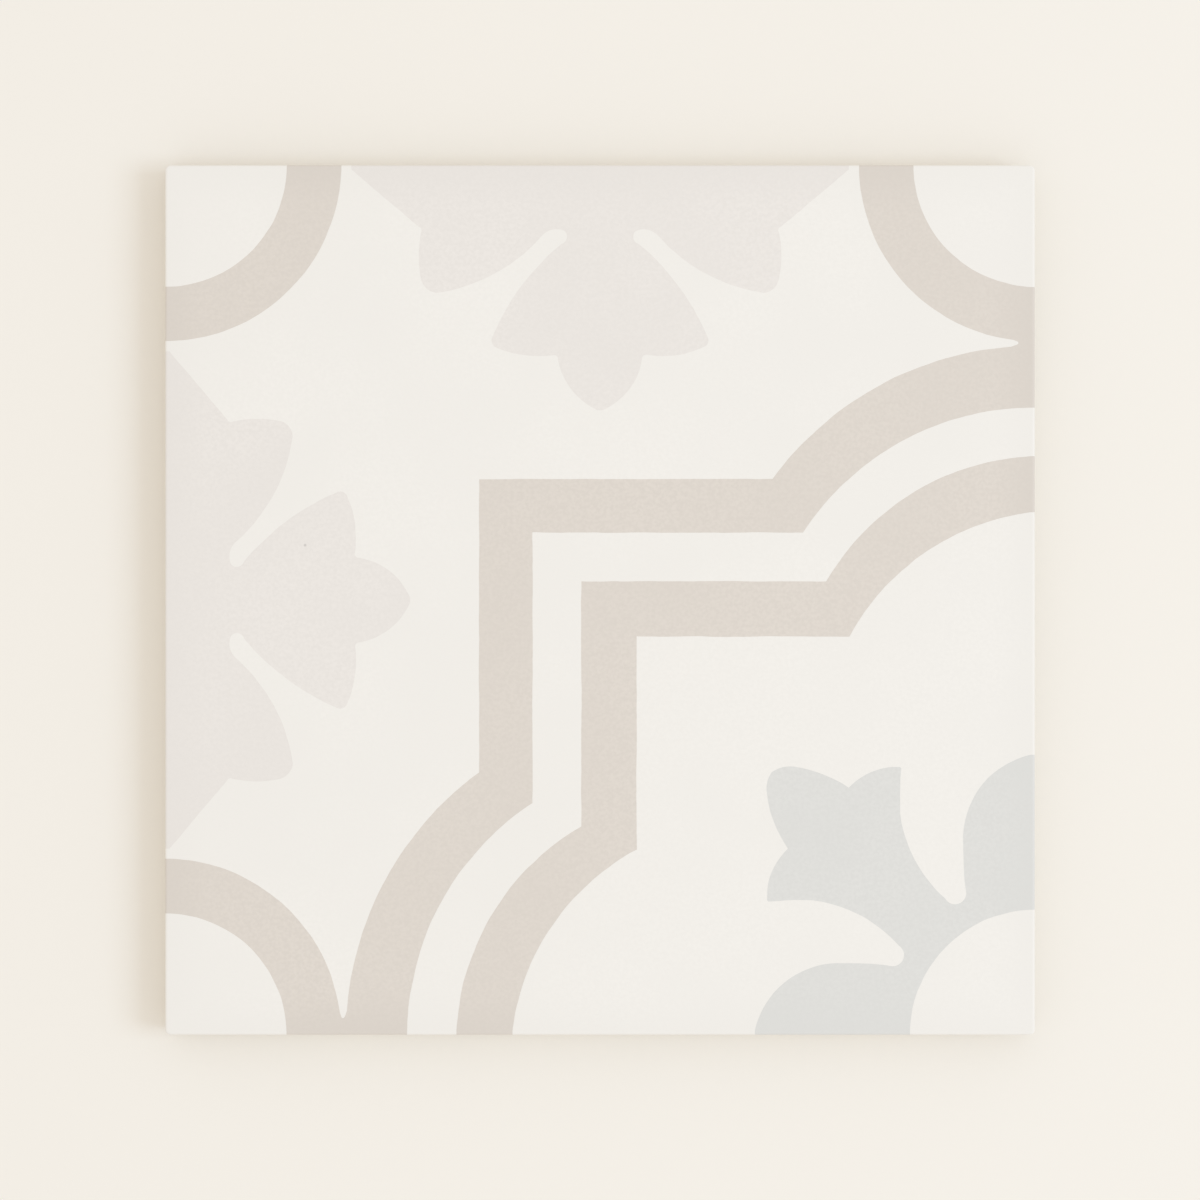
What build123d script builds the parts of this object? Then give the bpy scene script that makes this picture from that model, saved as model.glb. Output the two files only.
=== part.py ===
from build123d import *
from build123d.topology import SkipClean
import math
import os

# A square, dry-pressed floor tile with a printed matt decor, lying on its back. Millimetres, +Z up.
# The origin is the middle of the back. The decor is one quarter of a repeat: its flower and double band
# are centred on the corner at +X -Y, the flower corner, and its rings on the other three corners.

# Slab
TILE_SIDE = 200.0        # face, edge to edge
TILE_THICKNESS = 9.0
CORNER_RADIUS = 1.2      # plan corners
FACE_ARRIS = 0.5         # rounding round the face
SIDE_DRAFT = 1.0         # degrees, the sides lean in towards the back
BACK_BEVEL = 0.6         # 45 degree bevel round the back

# Keys: shallow square pockets pressed into the back, for the adhesive
KEY_SIDE = 26.0
KEY_RIB = 4.0            # flat rib between two keys
KEY_BORDER = 8.0         # plain border round the keys, at least
KEY_DEPTH = 0.5
KEY_CORNER = 2.5
KEY_DRAFT = 35.0         # degrees, slope of a key's walls

# Decor outlines are imprinted on the face, so that each colour has its own faces. They stand for a
# print with no thickness of its own, which wraps a little way round the arris.
PRINT_WRAP = 0.3
PRINT_OVERRUN = 2.0      # how far an outline is drawn past the tile's edge

# Quarter rings on the three corners that aren't the flower's
RING_INSIDE = 28.0       # radius
RING_OUTSIDE = 40.5      # radius
RING_WEB = 3.8           # length over which ring and outer band run together at the tile's edge
WEDGE_FLARE = 7.0        # distance from the edge where the wedge between them has its full width
WEDGE_TIP = 0.4          # radius of that wedge's tip

# Two bands round the flower corner. An outline is a square on that corner, with a round lobe on each
# of its two tile edges. A lobe's centre lies along the edge, some way beyond it.
OUTER_BAND_SQUARE = 127.8
OUTER_BAND_LOBE = 74.9   # radius
OUTER_BAND_ALONG = 83.5
OUTER_BAND_BEYOND = 0.0
OUTER_GROUND_SQUARE = 115.5
OUTER_GROUND_LOBE = 63.8
OUTER_GROUND_ALONG = 80.5
OUTER_GROUND_BEYOND = 0.0
INNER_BAND_SQUARE = 104.3
INNER_BAND_LOBE = 58.0
INNER_BAND_ALONG = 75.1
INNER_BAND_BEYOND = 2.1
INNER_GROUND_SQUARE = 91.6
INNER_GROUND_LOBE = 55.3
INNER_GROUND_ALONG = 65.3
INNER_GROUND_BEYOND = 6.0

# Half of a palmette: distance from its middle line, and height from the tile's edge that it stands on.
# A step is an end point, or a point on the way and the end point of an arc.
PALMETTE_FOOT = (58.4, 0.0)
PALMETTE_STEPS = [
    [(41.6, 14.2)],
    [(41.0, 14.7), (41.1, 15.6)],
    [(41.7, 21.0), (41.2, 26.0)],
    [(40.3, 28.0), (37.6, 29.4)],
    [(21.0, 23.0), (13.2, 16.1)],
    [(10.6, 14.8), (8.2, 15.2)],
    [(7.6, 16.5), (8.8, 18.1)],
    [(17.2, 26.7), (24.6, 39.3)],
    [(24.9, 40.6), (24.2, 41.7)],
    [(17.4, 43.7), (10.6, 43.65)],
    [(10.0, 43.9), (9.7, 44.8)],
    [(6.4, 51.9), (1.0, 56.2)],
    [(0.5, 56.4), (0.0, 56.4)],
]

# Half of a flower's quarter, from the tile's edge to the diagonal: distances from the flower corner.
FLOWER_EYE = 28.8        # radius of the open middle
FLOWER_PETAL_TIP = (64.6, 0.0)
FLOWER_STEPS = [
    [(59.4, 10.4), (45.0, 16.5)],
    [(38.6, 16.4), (32.8, 15.8)],
    [(30.1, 17.9), (31.3, 20.6)],
    [(39.0, 26.9), (51.0, 31.0)],
    [(56.0, 31.0), (60.9, 30.7)],
    [(61.5, 30.8), (61.6, 31.4)],
    [(60.8, 36.6), (56.8, 42.8)],
    [(60.3, 49.6), (61.6, 55.0)],
    [(61.4, 58.6), (60.5, 60.5)],
]

HALF_SIDE = TILE_SIDE / 2
BACK_INSET = TILE_THICKNESS * math.tan(math.radians(SIDE_DRAFT)) + BACK_BEVEL
BACK_SIDE = TILE_SIDE - 2 * BACK_INSET
FLOWER_CORNER = Pos(HALF_SIDE, -HALF_SIDE) * Rot(0, 0, 90)
DIAGONAL = Plane(origin=(0, 0, 0), x_dir=(1, 1, 0), z_dir=(1, -1, 0))


def make_slab():
    """The pressed slab: drafted sides, bevelled back edge, rounded face arris."""
    slab = extrude(RectangleRounded(TILE_SIDE, TILE_SIDE, CORNER_RADIUS), amount=TILE_THICKNESS)
    sides = [face for face in slab.faces() if abs(face.normal_at().Z) < 0.5]
    slab = draft(sides, Plane.XY.offset(TILE_THICKNESS), -SIDE_DRAFT)
    slab = chamfer(slab.edges().group_by(Axis.Z)[0], BACK_BEVEL)
    return fillet(slab.edges().group_by(Axis.Z)[-1], FACE_ARRIS)


def make_keys():
    """The grid of pockets in the back, as many as fit inside the plain border."""
    pitch = KEY_SIDE + KEY_RIB
    count = int((BACK_SIDE - 2 * KEY_BORDER + KEY_RIB) // pitch)
    key = extrude(RectangleRounded(KEY_SIDE, KEY_SIDE, KEY_CORNER), amount=KEY_DEPTH, taper=KEY_DRAFT)
    return [place * key for place in GridLocations(pitch, pitch, count, count)]


def outline_face(start, steps):
    """A face inside an outline of lines and arcs, closed by a straight line."""
    edges = []
    here = start
    for *on_the_way, end in steps:
        edges.append(ThreePointArc(here, *on_the_way, end) if on_the_way else Line(here, end))
        here = end
    return make_face(edges + [Line(here, start)])


def band_outline(square, lobe, along, beyond):
    """A square on the flower corner with a lobe on each of its two tile edges, in corner coordinates."""
    reach = square + PRINT_OVERRUN
    outline = Pos(reach / 2 - PRINT_OVERRUN, reach / 2 - PRINT_OVERRUN) * Rectangle(reach, reach)
    return outline + Pos(along, -beyond) * Circle(lobe) + Pos(-beyond, along) * Circle(lobe)


def make_bands():
    """Both bands, each one outline less the next."""
    outer = band_outline(OUTER_BAND_SQUARE, OUTER_BAND_LOBE, OUTER_BAND_ALONG, OUTER_BAND_BEYOND)
    outer -= band_outline(OUTER_GROUND_SQUARE, OUTER_GROUND_LOBE, OUTER_GROUND_ALONG, OUTER_GROUND_BEYOND)
    inner = band_outline(INNER_BAND_SQUARE, INNER_BAND_LOBE, INNER_BAND_ALONG, INNER_BAND_BEYOND)
    inner -= band_outline(INNER_GROUND_SQUARE, INNER_GROUND_LOBE, INNER_GROUND_ALONG, INNER_GROUND_BEYOND)
    return FLOWER_CORNER * (outer + inner)


def make_rings():
    """Quarter rings on three corners, with the webs that join two of them to the outer band."""
    ring = Circle(RING_OUTSIDE) - Circle(RING_INSIDE)
    rings = Sketch() + [Pos(x, y) * ring for x, y in ((-HALF_SIDE, HALF_SIDE), (HALF_SIDE, HALF_SIDE),
                                                     (-HALF_SIDE, -HALF_SIDE))]
    flare_depth = OUTER_BAND_BEYOND + WEDGE_FLARE
    in_band = OUTER_BAND_ALONG + math.sqrt(OUTER_BAND_LOBE**2 - flare_depth**2) - WEDGE_TIP
    in_ring = TILE_SIDE - math.sqrt(RING_OUTSIDE**2 - WEDGE_FLARE**2) + WEDGE_TIP
    middle = (in_band + in_ring) / 2
    tip_end = RING_WEB + WEDGE_TIP
    web = outline_face((-PRINT_OVERRUN, in_band), [
        [(WEDGE_FLARE, in_band)],
        [(tip_end, middle - WEDGE_TIP)],
        [(RING_WEB, middle), (tip_end, middle + WEDGE_TIP)],
        [(WEDGE_FLARE, in_ring)],
        [(-PRINT_OVERRUN, in_ring)],
    ])
    return rings + FLOWER_CORNER * (web + mirror(web, about=DIAGONAL))


def make_palmettes():
    """A palmette on the middle of each of the two tile edges away from the flower."""
    foot_end = (PALMETTE_FOOT[0], PALMETTE_FOOT[1] - PRINT_OVERRUN)
    middle_end = (0.0, -PRINT_OVERRUN)
    half = outline_face(foot_end, [[PALMETTE_FOOT]] + PALMETTE_STEPS + [[middle_end]])
    palmette = half + mirror(half, about=Plane.YZ)
    return Pos(0, HALF_SIDE) * Rot(0, 0, 180) * palmette + Pos(-HALF_SIDE, 0) * Rot(0, 0, -90) * palmette


def make_flower():
    """A quarter of the flower, two halves about the tile's diagonal."""
    tip_end = (FLOWER_PETAL_TIP[0], FLOWER_PETAL_TIP[1] - PRINT_OVERRUN)
    corner = (0.0, -PRINT_OVERRUN)
    half = outline_face(tip_end, [[FLOWER_PETAL_TIP]] + FLOWER_STEPS + [[(0.0, 0.0)], [corner]])
    return FLOWER_CORNER * (half + mirror(half, about=DIAGONAL) - Circle(FLOWER_EYE))


def imprint(slab, decor):
    """The slab with the decor's outlines as edges of its face."""
    stamp = extrude(Pos(0, 0, TILE_THICKNESS + PRINT_WRAP) * decor, amount=-2 * PRINT_WRAP)
    printed = slab & stamp
    with SkipClean():
        return (slab - stamp).fuse(*printed.solids())


tile = make_slab() - make_keys()
for decor in (make_rings() + make_bands(), make_palmettes(), make_flower()):
    tile = imprint(tile, decor)

os.makedirs("parts", exist_ok=True)
export_step(tile, "parts/tile_body.step")
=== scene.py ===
import math

import bpy
from mathutils import Color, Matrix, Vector, noise
from mathutils.geometry import delaunay_2d_cdt


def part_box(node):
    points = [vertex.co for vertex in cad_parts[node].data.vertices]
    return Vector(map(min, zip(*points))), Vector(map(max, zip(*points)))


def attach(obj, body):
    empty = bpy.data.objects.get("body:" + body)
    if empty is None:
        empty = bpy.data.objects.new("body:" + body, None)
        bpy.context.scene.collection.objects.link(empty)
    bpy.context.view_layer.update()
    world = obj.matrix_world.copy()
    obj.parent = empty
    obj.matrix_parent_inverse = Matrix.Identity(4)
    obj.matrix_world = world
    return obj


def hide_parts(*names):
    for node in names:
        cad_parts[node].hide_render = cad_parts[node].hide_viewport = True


# The tile's visible mesh, its printed decor, its fired body and a plain studio round it.
# Lengths are millimetres, as in the part's source, and MM makes them metres. The studio's are metres.

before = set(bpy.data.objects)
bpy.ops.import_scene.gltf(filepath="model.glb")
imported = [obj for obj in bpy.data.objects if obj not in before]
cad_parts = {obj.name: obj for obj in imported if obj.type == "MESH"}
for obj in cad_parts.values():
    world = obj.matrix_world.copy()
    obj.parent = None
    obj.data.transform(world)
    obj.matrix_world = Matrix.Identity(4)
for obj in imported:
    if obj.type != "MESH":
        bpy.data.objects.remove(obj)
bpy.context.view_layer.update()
MM = 0.001

# Slab, from the frame and from the part's source
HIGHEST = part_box("tile_body")[1]
HALF_WIDE = HIGHEST.x / MM       # half the widest plan
THICKNESS = HIGHEST.z / MM
HALF_SIDE = 100.0                # half the face's nominal side, which the decor is drawn on
CORNER_RADIUS = 1.2
FACE_ARRIS = 0.5
BACK_BEVEL = 0.6
SIDE_DRAFT = math.radians(1.0)   # the sides lean in towards the back
PRINT_WRAP = 0.3                 # the print ends this far down the arris

# Keys in the back
KEY_COUNT = 6
KEY_SIDE = 26.0
KEY_RIB = 4.0
KEY_CORNER = 2.5
KEY_DEPTH = 0.5
KEY_RUN = 0.7                    # width of a key's rounded wall

# Decor: quarter rings on three corners
RING_CORNERS = ((-1, 1), (1, 1), (-1, -1))
RING_INSIDE = 28.0
RING_OUTSIDE = 40.5
RING_REACH = math.radians(52)    # a ring is drawn this far to both sides of its corner's diagonal
RING_WEB = 3.8                   # length over which ring and outer band run together at the tile's edge
WEDGE_FLARE = 7.0                # distance from the edge where the wedge between them has its full width
WEDGE_TIP = 0.4                  # radius of that wedge's tip

# Decor: band outlines round the flower corner. Each is a square with a round lobe on its two tile edges:
# side of the square, radius of the lobe, place of its centre along the edge and beyond the edge.
OUTER_BAND = (127.8, 74.9, 83.5, 0.0)
OUTER_GROUND = (115.5, 63.8, 80.5, 0.0)
INNER_BAND = (104.3, 58.0, 75.1, 2.1)
INNER_GROUND = (91.6, 55.3, 65.3, 6.0)

# Decor: half a palmette, as distance from its middle line and height from the edge that it stands on.
# A step is an end point, or a point on the way and the end point of an arc.
PALMETTE_FOOT = (58.4, 0.0)
PALMETTE_STEPS = [
    [(41.6, 14.2)],
    [(41.0, 14.7), (41.1, 15.6)],
    [(41.7, 21.0), (41.2, 26.0)],
    [(40.3, 28.0), (37.6, 29.4)],
    [(21.0, 23.0), (13.2, 16.1)],
    [(10.6, 14.8), (8.2, 15.2)],
    [(7.6, 16.5), (8.8, 18.1)],
    [(17.2, 26.7), (24.6, 39.3)],
    [(24.9, 40.6), (24.2, 41.7)],
    [(17.4, 43.7), (10.6, 43.65)],
    [(10.0, 43.9), (9.7, 44.8)],
    [(6.4, 51.9), (1.0, 56.2)],
    [(0.5, 56.4), (0.0, 56.4)],
]

# Decor: half of the flower's quarter, from the tile's edge to the diagonal, from the flower corner
FLOWER_EYE = 28.8
FLOWER_PETAL_TIP = (64.6, 0.0)
FLOWER_STEPS = [
    [(59.4, 10.4), (45.0, 16.5)],
    [(38.6, 16.4), (32.8, 15.8)],
    [(30.1, 17.9), (31.3, 20.6)],
    [(39.0, 26.9), (51.0, 31.0)],
    [(56.0, 31.0), (60.9, 30.7)],
    [(61.5, 30.8), (61.6, 31.4)],
    [(60.8, 36.6), (56.8, 42.8)],
    [(60.3, 49.6), (61.6, 55.0)],
    [(61.4, 58.6), (60.5, 60.5)],
]

# Mesh
OVERRUN = 2.0                    # outlines run past the tile's edge and are then cut there
POINT_STEP = 0.6                 # distance between an outline's points
WAVERS = ((0.10, 6.0), (0.06, 2.0))  # the print's edges waver: about this much, over this length
WAVER_SEED = 4
FACE_INSET = 1.0                 # width of the border strip between the triangulated face and the sides
SIDE_SUPPORT = 0.9               # a loop this far below the face keeps the sides' shading flat
CORNER_STEPS = 6
ARRIS_STEPS = 6
KEY_STEPS = 5
CORNERS = ((1, 1), (-1, 1), (-1, -1), (1, -1))
DECIMALS = 5                     # a mesh point is kept to this many decimals
MERGE_DISTANCE = 1e-6            # outline points closer than this become one
INSIDE_OUTLINES = 1              # the triangulation leaves out what lies outside all outlines
SHARP_ANGLE = math.radians(30)

# Bake map, in shares of its width
FACE_MAP = 0.84                  # the face
STRIP_WIDTH = 0.037              # each side's strip, beside the face
BACK_MAP = 0.14                  # the back, small above the face
MAP_MARGIN = 0.004

# Print: 8-bit display colour, shade towards the tile's edges and shade of the grain
INKS = {
    "ground": ((242.3, 239.6, 233.9), 0.98, 0.99),
    "taupe": ((222.7, 215.3, 206.2), 0.95, 0.955),
    "ivory": ((235.4, 231.0, 225.6), 0.975, 0.97),
    "grey": ((223.2, 222.8, 218.9), 0.985, 0.97),
}
SLOTS = (*INKS, "bisque")
NOISE_DETAIL = 3.0
NOISE_RANGE = (0.3, 0.7)         # values of the noise that stand for none and for full
CLOUD_SIZE = 28.0
CLOUD_SHADES = (0.987, 1.013)
GRAIN_SIZE = 0.8
EDGE_FADE = 11.0                 # the edges' shade fades out over this length
EDGE_SHARE = 0.7
SPECK_INK = "ivory"
SPECK_PLACE = (-67.8, 12.6)      # a small dark speck in the left palmette
SPECK_RADIUS = 0.45
SPECK_CORE = 0.135               # radius of its darkest part
SPECK_SHADE = 0.76
GLOSS_SIZE = 3.0                 # the gloss varies over this length
GLOSS_RANGE = (0.2, 0.8)
PRINT_ROUGHNESS = (0.52, 0.66)
PRINT_SPECULAR = 0.35
PRINT_BUMP = (0.02, 0.35)        # depth and strength

# Unglazed body
BISQUE = (228, 221, 208)
BISQUE_CLOUD_SIZE = 18.0
BISQUE_CLOUD_SHADES = (0.95, 1.02)
BISQUE_GRAIN_SIZE = 0.7
BISQUE_GRAIN_DETAIL = 4.0
BISQUE_GRAIN_SHARE = 0.6
BISQUE_GRAIN_SHADE = 0.88
BISQUE_ROUGHNESS = (0.8, 0.92)
BISQUE_SPECULAR = 0.25
BISQUE_BUMP = (0.05, 0.6)        # depth and strength

# Powdery wash on the back's ribs
WASH = (244, 242, 238)
WASH_HEIGHTS = (0.14, 0.03)      # it is gone at the first height above the ribs, and full at the second
WASH_SIZE = 7.0
WASH_DETAIL = 6.0
WASH_RANGE = (0.3, 0.62)
WASH_SHARES = (0.15, 0.8)        # of its thinnest and its thickest patches

# Material nodes
DISPLAY_MAX = 255                # highest value of an 8-bit display colour
MIX_FACTOR = 0                   # sockets of a Mix node that mixes colours
MIX_FIRST = 6
MIX_SECOND = 7
MIX_RESULT = 2

# Studio
TILE_SHARE = 0.725               # share of the picture's width that the tile takes
LENS = 100.0                     # millimetres, as the sensor
SENSOR = 36.0
LAMP_PLACE = (1.65, -0.15, 1.60)
LAMP_SIZE = 1.0
LAMP_WATTS = 11.0
LAMP_COLOUR = (0.80, 1.00, 1.26)
WORLD_COLOUR = (0.885, 0.85, 0.81, 1.0)
WORLD_STRENGTH = 1.0
FLOOR = (245, 241, 233)
FLOOR_ROUGHNESS = 0.9
FLOOR_SPECULAR = 0.1
FLOOR_HALF = 6.0
FLOOR_DROP = 0.02 * MM           # keeps the floor clear of the back's plane


# Outlines

def spaced(start, end):
    """Points from start, left out, to end along a straight line."""
    count = max(1, math.ceil(math.dist(start, end) / POINT_STEP))
    return [tuple(s + (e - s) * k / count for s, e in zip(start, end)) for k in range(1, count + 1)]


def arc(centre, radius, first, last):
    """Points along an arc between two angles, both ends in."""
    count = max(2, math.ceil(abs(last - first) * radius / POINT_STEP))
    turns = [first + (last - first) * k / count for k in range(count + 1)]
    return [(centre[0] + radius * math.cos(t), centre[1] + radius * math.sin(t)) for t in turns]


def arc_through(start, middle, end):
    """Points from start, left out, through middle to end on a circle."""
    (ax, ay), (bx, by), (cx, cy) = start, middle, end
    turn = 2 * (ax * (by - cy) + bx * (cy - ay) + cx * (ay - by))
    a2, b2, c2 = ax * ax + ay * ay, bx * bx + by * by, cx * cx + cy * cy
    centre = ((a2 * (by - cy) + b2 * (cy - ay) + c2 * (ay - by)) / turn,
              (a2 * (cx - bx) + b2 * (ax - cx) + c2 * (bx - ax)) / turn)
    first, on_way, last = (math.atan2(y - centre[1], x - centre[0]) for x, y in (start, middle, end))
    sweep, part = (last - first) % math.tau, (on_way - first) % math.tau
    if part > sweep:
        sweep -= math.tau
    return arc(centre, math.dist(start, centre), first, first + sweep)[1:]


def path(start, steps):
    """Points along an outline of straight lines and arcs."""
    points = [start]
    for *on_way, end in steps:
        points += arc_through(points[-1], *on_way, end) if on_way else spaced(points[-1], end)
    return points


def mirrored(points):
    """An outline's half and its mirror image about the diagonal, as one run."""
    return points + [(b, a) for a, b in reversed(points)]


def band_path(square, lobe, along, beyond):
    """One band outline, in distances from the flower corner, from tile edge to tile edge."""
    junction = math.sqrt(lobe**2 - (square - along) ** 2)
    first = math.asin((beyond - OVERRUN) / lobe)
    half = arc((along, -beyond), lobe, first, math.atan2(junction, square - along))
    return mirrored(half + spaced(half[-1], (square, square)))


def ring_outline(sign_x, sign_y):
    """A quarter ring round a tile corner, a little more than a quarter before it is cut."""
    centre = (sign_x * HALF_SIDE, sign_y * HALF_SIDE)
    inward = math.atan2(-sign_y, -sign_x)
    outside = arc(centre, RING_OUTSIDE, inward - RING_REACH, inward + RING_REACH)
    return outside + arc(centre, RING_INSIDE, inward + RING_REACH, inward - RING_REACH)


def web_outline():
    """The patch that joins a ring to the outer band at the tile's edge, from the flower corner."""
    _, lobe, along, beyond = OUTER_BAND
    in_band = along + math.sqrt(lobe**2 - (beyond + WEDGE_FLARE) ** 2) - WEDGE_TIP
    in_ring = 2 * HALF_SIDE - math.sqrt(RING_OUTSIDE**2 - WEDGE_FLARE**2) + WEDGE_TIP
    middle = (in_band + in_ring) / 2
    tip_end = RING_WEB + WEDGE_TIP
    return path((-OVERRUN, in_band), [
        [(WEDGE_FLARE, in_band)],
        [(tip_end, middle - WEDGE_TIP)],
        [(RING_WEB, middle), (tip_end, middle + WEDGE_TIP)],
        [(WEDGE_FLARE, in_ring)],
        [(-OVERRUN, in_ring)],
    ])


def palmette_outline():
    """A whole palmette standing on its edge."""
    half = path((PALMETTE_FOOT[0], -OVERRUN), [[PALMETTE_FOOT]] + PALMETTE_STEPS)
    return half + [(-u, v) for u, v in reversed(half)]


def flower_outline():
    """The flower's quarter, from the flower corner."""
    to_tip = [[(FLOWER_PETAL_TIP[0], -OVERRUN)], [FLOWER_PETAL_TIP]]
    half = path((FLOWER_EYE, -OVERRUN), to_tip + FLOWER_STEPS)
    return mirrored(half) + arc((0.0, 0.0), FLOWER_EYE, math.pi / 2, 0.0)


def from_flower_corner(points):
    """Distances from the flower corner as places on the face."""
    return [(HALF_SIDE - a, b - HALF_SIDE) for a, b in points]


def wavered(point):
    """A point moved by the print's small unevenness."""
    x, y = point
    for reach, length in WAVERS:
        shift = noise.noise_vector(Vector((point[0] / length, point[1] / length, 0.0)))
        x, y = x + reach * shift.x, y + reach * shift.y
    return x, y


def cut_to_square(points, half):
    """An outline cut to the square that reaches half to each side."""
    for axis, sign in ((0, 1), (0, -1), (1, 1), (1, -1)):
        kept = []
        for here, there in zip(points, points[1:] + points[:1]):
            gap_here, gap_there = half - sign * here[axis], half - sign * there[axis]
            if gap_here >= 0:
                kept.append(here)
            if gap_here * gap_there < 0:
                t = gap_here / (gap_here - gap_there)
                cut = [h + (g - h) * t for h, g in zip(here, there)]
                cut[axis] = sign * half
                kept.append(tuple(cut))
        points = kept
    return points


def rounded_square(half, radius):
    """A rounded square's outline, anticlockwise."""
    points = []
    for k, (sign_x, sign_y) in enumerate(CORNERS):
        for j in range(CORNER_STEPS + 1):
            t = k * math.pi / 2 + math.pi / 2 * j / CORNER_STEPS
            points.append((sign_x * (half - radius) + radius * math.cos(t),
                           sign_y * (half - radius) + radius * math.sin(t)))
    return points


def decor_outlines():
    """Every printed outline on the face, with the name of its colour."""
    noise.seed_set(WAVER_SEED)
    outer = band_path(*OUTER_BAND) + band_path(*OUTER_GROUND)[::-1]
    inner = band_path(*INNER_BAND) + band_path(*INNER_GROUND)[::-1]
    web, palmette = web_outline(), palmette_outline()
    outlines = [("taupe", from_flower_corner(p)) for p in (outer, inner, web, [(b, a) for a, b in web])]
    outlines += [("taupe", ring_outline(*corner)) for corner in RING_CORNERS]
    outlines.append(("ivory", [(u, HALF_SIDE - v) for u, v in palmette]))
    outlines.append(("ivory", [(v - HALF_SIDE, u) for u, v in palmette]))
    outlines.append(("grey", from_flower_corner(flower_outline())))
    half = HALF_WIDE - FACE_INSET
    return [(colour, cut_to_square([wavered(p) for p in points], half)) for colour, points in outlines]


# Mesh of the tile

def rounded(point):
    return tuple(round(c, DECIMALS) for c in point)


class Shell:
    """The faces of one closed mesh, with a slot and a place on the bake map for each."""

    def __init__(self):
        self.points = []
        self.index = {}
        self.faces = []
        self.slots = []
        self.places = []

    def vertex(self, point):
        key = rounded(point)
        if key not in self.index:
            self.index[key] = len(self.points)
            self.points.append(key)
        return self.index[key]

    def face(self, corners, slot, place):
        numbers = [self.vertex(c) for c in corners]
        if len(set(numbers)) == len(numbers):
            self.faces.append(numbers)
            self.slots.append(SLOTS.index(slot))
            self.places.append([place(c) for c in corners])


def on_face(point):
    """A point's place on the face's part of the bake map."""
    return tuple(MAP_MARGIN + FACE_MAP * (c / HALF_WIDE + 1) / 2 for c in point[:2])


def on_back(point):
    """A point's place on the back's part of the bake map."""
    u, v = (MAP_MARGIN + BACK_MAP * (c / HALF_WIDE + 1) / 2 for c in point[:2])
    return u, v + FACE_MAP + MAP_MARGIN


def on_side(axis, sign):
    """Places on the bake map for the side that looks along an axis."""
    strip = FACE_MAP + 2 * MAP_MARGIN + STRIP_WIDTH * (axis * 2 + (sign > 0))

    def place(point):
        along = MAP_MARGIN + FACE_MAP * (point[1 - axis] / HALF_WIDE + 1) / 2
        return strip + (STRIP_WIDTH - MAP_MARGIN) * point[2] / THICKNESS, along
    return place


def outward(point):
    """Direction in which the slab's edge looks at a point of its outline."""
    inner = HALF_WIDE - CORNER_RADIUS
    away = Vector([math.copysign(max(abs(c) - inner, 0.0), c) for c in point])
    return away.normalized()


def side_inset(depth):
    """How far the drafted sides lie inside the widest plan, at a depth below the face."""
    return HALF_WIDE - HALF_SIDE + depth * math.tan(SIDE_DRAFT)


def edge_profile():
    """From the face's border to the back: inset, height, and what covers the strip that comes next."""
    profile = [(FACE_INSET, THICKNESS, "print")]
    for k in range(ARRIS_STEPS):
        turn = math.pi / 2 * k / ARRIS_STEPS
        drop = FACE_ARRIS * (1 - math.cos(turn))
        cover = "print" if drop < PRINT_WRAP else "ground"
        profile.append((FACE_ARRIS * (1 - math.sin(turn)), THICKNESS - drop, cover))
    profile.append((0.0, THICKNESS - FACE_ARRIS, "bisque"))
    profile.append((side_inset(SIDE_SUPPORT), THICKNESS - SIDE_SUPPORT, "bisque"))
    profile.append((side_inset(THICKNESS - BACK_BEVEL), BACK_BEVEL, "bisque"))
    profile.append((side_inset(THICKNESS) + BACK_BEVEL, 0.0, "bisque"))
    return profile


def triangulated(outlines):
    """Triangles inside the outlines, each with the numbers of all the outlines that hold it."""
    points = []
    regions = []
    for outline in outlines:
        turn = sum(a[0] * b[1] - a[1] * b[0] for a, b in zip(outline, outline[1:] + outline[:1]))
        regions.append(list(range(len(points), len(points) + len(outline))))
        points += outline if turn > 0 else outline[::-1]
    found = delaunay_2d_cdt([Vector(p) for p in points], [], regions, INSIDE_OUTLINES, MERGE_DISTANCE, True)
    vertices, _, triangles, from_points, _, from_regions = found
    spots = [points[given[0]] if given else tuple(spot) for spot, given in zip(vertices, from_points)]
    return [([spots[v] for v in triangle], set(held)) for triangle, held in zip(triangles, from_regions)]


def facing(corners, up):
    """A triangle's corners, in the order that makes it look up or down."""
    (ax, ay), (bx, by), (cx, cy) = corners
    looks_up = (bx - ax) * (cy - ay) > (by - ay) * (cx - ax)
    return corners if looks_up == up else corners[::-1]


def add_face(shell):
    """The printed face. Returns its border as (from, to, colour), in order round the tile."""
    decor = decor_outlines()
    border = rounded_square(HALF_WIDE - FACE_INSET, CORNER_RADIUS - FACE_INSET)
    used = {}
    for corners, held in triangulated([border] + [points for _, points in decor]):
        if 0 not in held:
            continue
        colour = next((decor[k - 1][0] for k in sorted(held) if k), "ground")
        corners = facing(corners, True)
        shell.face([(x, y, THICKNESS) for x, y in corners], colour, on_face)
        ends = [rounded(p) for p in corners]
        for start, end in zip(ends, ends[1:] + ends[:1]):
            if used.pop((end, start), None) is None:
                used[start, end] = colour
    after = {start: (end, colour) for (start, end), colour in used.items()}
    loop = []
    here = next(iter(after))
    while here in after:
        there, colour = after.pop(here)
        loop.append((here, there, colour))
        here = there
    return loop


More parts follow.
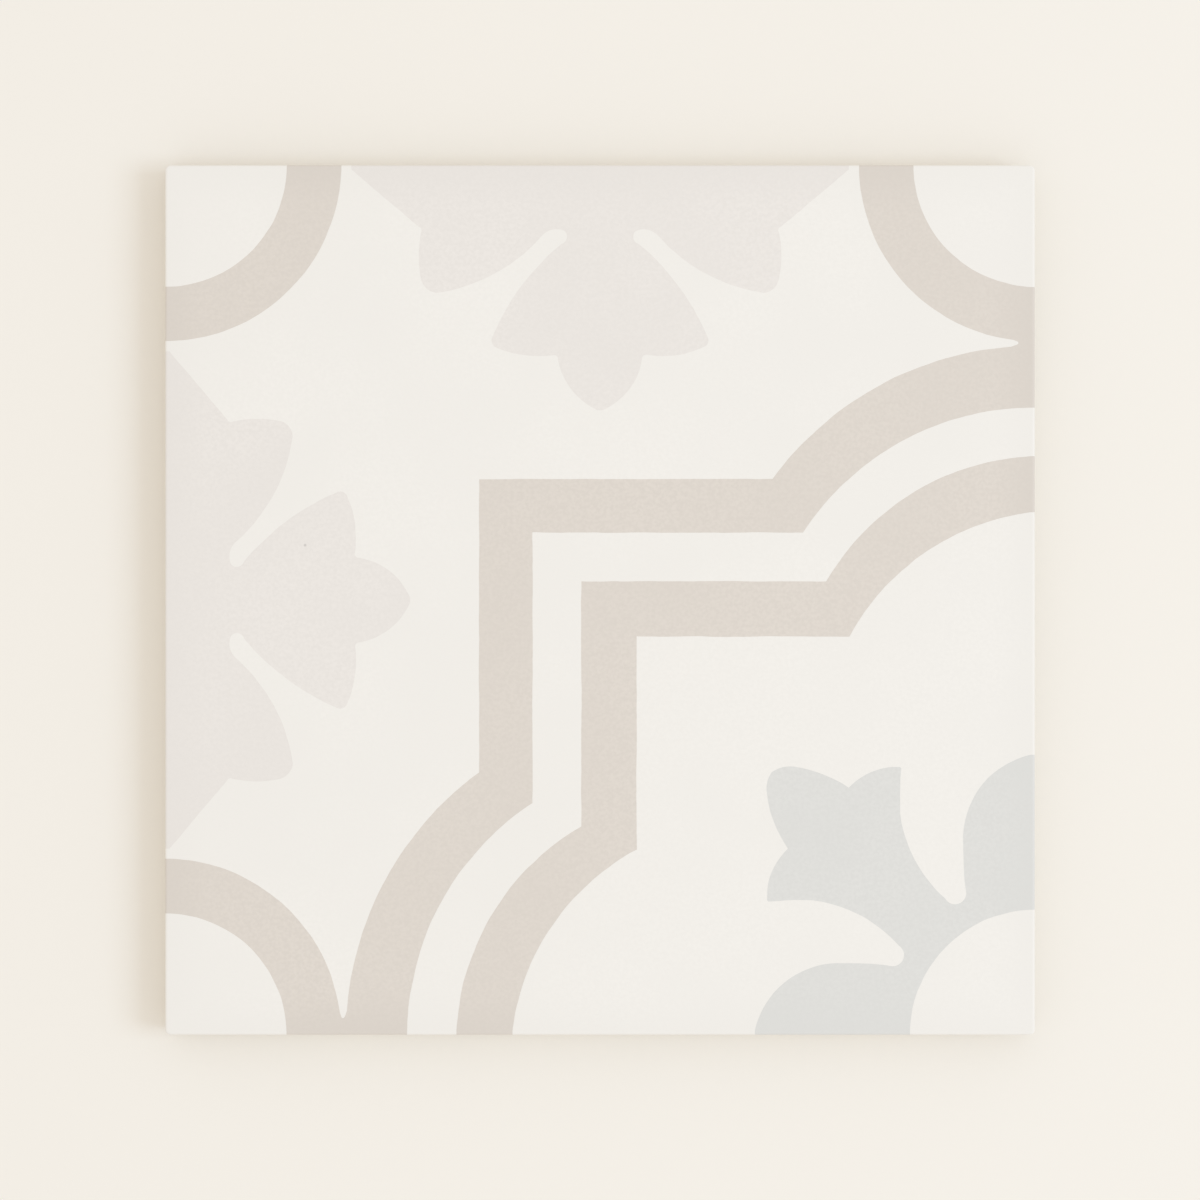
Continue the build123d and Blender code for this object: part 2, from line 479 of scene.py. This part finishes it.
def add_edges(shell, loop):
    """Arris, sides and bevel round the tile. Returns the back's outline."""
    profile = edge_profile()

    def at(point, step):
        inset, height, _ = profile[step]
        way = outward(point) * (FACE_INSET - inset)
        return point[0] + way.x, point[1] + way.y, height

    for start, end, colour in loop:
        side = outward(((start[0] + end[0]) / 2, (start[1] + end[1]) / 2))
        axis = 0 if abs(side.x) > abs(side.y) else 1
        strip = on_side(axis, side[axis])
        for k in range(len(profile) - 1):
            corners = [at(start, k), at(start, k + 1), at(end, k + 1), at(end, k)]
            cover = colour if profile[k][2] == "print" else profile[k][2]
            shell.face(corners, cover, strip if cover == "bisque" else on_face)
    return [at(start, len(profile) - 1)[:2] for start, _, _ in loop]


def key_loops(centre):
    """A key's outlines, from the back's plane to the key's floor, along a wall eased at both ends."""
    loops = []
    for k in range(KEY_STEPS + 1):
        t = k / KEY_STEPS
        inset, rise = KEY_RUN * t, KEY_DEPTH * t * t * (3 - 2 * t)
        outline = rounded_square(KEY_SIDE / 2 - inset, KEY_CORNER - inset)
        loops.append([(centre[0] + x, centre[1] + y, rise) for x, y in outline])
    return loops


def add_back(shell, outline):
    """The ribs' plane and the keys pressed into it."""
    pitch = KEY_SIDE + KEY_RIB
    places = [pitch * (k - (KEY_COUNT - 1) / 2) for k in range(KEY_COUNT)]
    keys = [key_loops((x, y)) for x in places for y in places]
    mouths = [[p[:2] for p in loops[0]] for loops in keys]
    for corners, held in triangulated([outline] + mouths):
        if held == {0}:
            shell.face([(x, y, 0.0) for x, y in facing(corners, False)], "bisque", on_back)
    for loops in keys:
        for lower, upper in zip(loops, loops[1:]):
            for k in range(len(lower)):
                n = (k + 1) % len(lower)
                shell.face([lower[n], lower[k], upper[k], upper[n]], "bisque", on_back)
        shell.face(loops[-1][::-1], "bisque", on_back)


def put(name, data):
    """A new object in the scene."""
    thing = bpy.data.objects.new(name, data)
    bpy.context.scene.collection.objects.link(thing)
    return thing


def make_tile(materials):
    """The tile as one closed mesh."""
    shell = Shell()
    add_back(shell, add_edges(shell, add_face(shell)))
    mesh = bpy.data.meshes.new("tile")
    mesh.from_pydata([[c * MM for c in p] for p in shell.points], [], shell.faces)
    for material in materials:
        mesh.materials.append(material)
    mesh.polygons.foreach_set("material_index", shell.slots)
    layer = mesh.uv_layers.new(name="OFBake")
    layer.uv.foreach_set("vector", [c for face in shell.places for place in face for c in place])
    mesh.polygons.foreach_set("use_smooth", [True] * len(mesh.polygons))
    mesh.set_sharp_from_angle(angle=SHARP_ANGLE)
    return put("tile", mesh)


# Materials

def shaded(colour, factor=1.0):
    """An 8-bit display colour, made darker or paler by a factor, as linear RGBA."""
    tone = Color([c / DISPLAY_MAX for c in colour]).from_srgb_to_scene_linear()
    return [c * factor for c in tone] + [1.0]


class Nodes:
    """A material's node tree, with short calls for what the materials here share."""

    def __init__(self, name):
        self.material = bpy.data.materials.new(name)
        self.material.use_nodes = True
        self.tree = self.material.node_tree
        self.shader = self.tree.nodes["Principled BSDF"]
        self.place = self.tree.nodes.new("ShaderNodeTexCoord").outputs["Object"]

    def feed(self, node, inputs):
        """Gives a node's inputs, by name or number, their values or links."""
        for key, value in inputs.items():
            if isinstance(value, bpy.types.NodeSocket):
                self.tree.links.new(value, node.inputs[key])
            else:
                node.inputs[key].default_value = value

    def add(self, kind, inputs, **settings):
        """A new node's outputs."""
        node = self.tree.nodes.new(kind)
        for name, value in settings.items():
            setattr(node, name, value)
        self.feed(node, inputs)
        return node.outputs

    def math(self, operation, *values):
        return self.add("ShaderNodeMath", dict(enumerate(values)), operation=operation)["Value"]

    def noise(self, size, detail=NOISE_DETAIL):
        """Noise with features of about this size, from 0 to 1."""
        inputs = {"Vector": self.place, "Scale": 1 / (size * MM), "Detail": detail}
        return self.add("ShaderNodeTexNoise", inputs)["Fac"]

    def ramp(self, value, span, to=(0.0, 1.0)):
        """A value's way through a span, eased, as a way from one number to another."""
        inputs = {"Value": value, "From Min": span[0], "From Max": span[1], "To Min": to[0], "To Max": to[1]}
        return self.add("ShaderNodeMapRange", inputs, interpolation_type="SMOOTHSTEP")["Result"]

    def mix(self, share, first, second):
        """One colour, with a share of another in it."""
        inputs = {MIX_FACTOR: share, MIX_FIRST: first, MIX_SECOND: second}
        return self.add("ShaderNodeMix", inputs, data_type="RGBA")[MIX_RESULT]

    def bump(self, height, depth, strength):
        inputs = {"Height": height, "Distance": depth * MM, "Strength": strength}
        return self.add("ShaderNodeBump", inputs)["Normal"]


def printed(name):
    """Matt printed glaze: faint clouding and grain, a little darker towards the tile's edges."""
    colour, edge_shade, grain_shade = INKS[name]
    n = Nodes(name)
    cloud = n.ramp(n.noise(CLOUD_SIZE), NOISE_RANGE)
    grain = n.ramp(n.noise(GRAIN_SIZE), NOISE_RANGE)
    pale = 2 / (1 + grain_shade)  # keeps the mean colour as it is without the grain
    base = n.mix(cloud, *(shaded(colour, shade * pale) for shade in CLOUD_SHADES))
    base = n.mix(grain, base, shaded(colour, grain_shade * pale))
    axes = n.add("ShaderNodeSeparateXYZ", {"Vector": n.place})
    reach = n.math("MAXIMUM", n.math("ABSOLUTE", axes["X"]), n.math("ABSOLUTE", axes["Y"]))
    edge = n.ramp(reach, ((HALF_SIDE - EDGE_FADE) * MM, HALF_SIDE * MM))
    base = n.mix(n.math("MULTIPLY", edge, EDGE_SHARE), base, shaded(colour, edge_shade))
    if name == SPECK_INK:
        centre = [c * MM for c in (*SPECK_PLACE, THICKNESS)]
        away = n.add("ShaderNodeVectorMath", {0: n.place, 1: centre}, operation="DISTANCE")["Value"]
        speck = n.ramp(away, (SPECK_RADIUS * MM, SPECK_CORE * MM))
        base = n.mix(speck, base, shaded(colour, SPECK_SHADE))
    n.feed(n.shader, {
        "Base Color": base,
        "Roughness": n.ramp(n.noise(GLOSS_SIZE), GLOSS_RANGE, PRINT_ROUGHNESS),
        "Specular IOR Level": PRINT_SPECULAR,
        "Normal": n.bump(grain, *PRINT_BUMP),
    })
    return n.material


def bisque():
    """Unglazed fired body: fine sandy grain, and a patchy pale wash on the back's ribs."""
    n = Nodes("bisque")
    grain = n.ramp(n.noise(BISQUE_GRAIN_SIZE, BISQUE_GRAIN_DETAIL), NOISE_RANGE)
    cloud = n.ramp(n.noise(BISQUE_CLOUD_SIZE), NOISE_RANGE)
    base = n.mix(cloud, *(shaded(BISQUE, shade) for shade in BISQUE_CLOUD_SHADES))
    base = n.mix(n.math("MULTIPLY", grain, BISQUE_GRAIN_SHARE), base, shaded(BISQUE, BISQUE_GRAIN_SHADE))
    height = n.add("ShaderNodeSeparateXYZ", {"Vector": n.place})["Z"]
    on_ribs = n.ramp(height, [h * MM for h in WASH_HEIGHTS])
    patches = n.ramp(n.noise(WASH_SIZE, WASH_DETAIL), WASH_RANGE, WASH_SHARES)
    base = n.mix(n.math("MULTIPLY", on_ribs, patches), base, shaded(WASH))
    n.feed(n.shader, {
        "Base Color": base,
        "Roughness": n.ramp(grain, (0.0, 1.0), BISQUE_ROUGHNESS),
        "Specular IOR Level": BISQUE_SPECULAR,
        "Normal": n.bump(grain, *BISQUE_BUMP),
    })
    return n.material


def plain_floor():
    """One pale colour."""
    n = Nodes("floor")
    n.feed(n.shader, {
        "Base Color": shaded(FLOOR),
        "Roughness": FLOOR_ROUGHNESS,
        "Specular IOR Level": FLOOR_SPECULAR,
    })
    return n.material


# Floor, light and camera

def make_floor():
    """A wide plain floor under the tile."""
    mesh = bpy.data.meshes.new("floor")
    corners = [(x * FLOOR_HALF, y * FLOOR_HALF, -FLOOR_DROP) for x, y in CORNERS]
    mesh.from_pydata(corners, [], [(0, 1, 2, 3)])
    mesh.materials.append(plain_floor())
    floor = put("floor", mesh)


def make_light():
    """A soft, cool lamp from the right and an even, warm world."""
    lamp = bpy.data.lights.new("lamp", "AREA")
    lamp.size = LAMP_SIZE
    lamp.energy = LAMP_WATTS
    lamp.color = LAMP_COLOUR
    stand = put("lamp", lamp)
    stand.location = LAMP_PLACE
    stand.rotation_mode = "QUATERNION"
    stand.rotation_quaternion = Vector([-c for c in LAMP_PLACE]).to_track_quat("-Z", "Y")
    world = bpy.data.worlds.new("studio")
    world.use_nodes = True
    background = world.node_tree.nodes["Background"].inputs
    background["Color"].default_value = WORLD_COLOUR
    background["Strength"].default_value = WORLD_STRENGTH
    bpy.context.scene.world = world


def make_camera():
    """Straight down on the face."""
    data = bpy.data.cameras.new("camera")
    data.lens = LENS
    data.sensor_width = SENSOR
    camera = put("camera", data)
    width = 2 * HALF_SIDE * MM / TILE_SHARE
    camera.location = (0.0, 0.0, THICKNESS * MM + width * LENS / SENSOR)
    bpy.context.scene.camera = camera


def main():
    tile = make_tile([printed(name) for name in INKS] + [bisque()])
    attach(tile, "root")
    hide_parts("tile_body")
    make_floor()
    make_light()
    make_camera()
    bpy.context.scene.view_settings.view_transform = "Standard"


main()
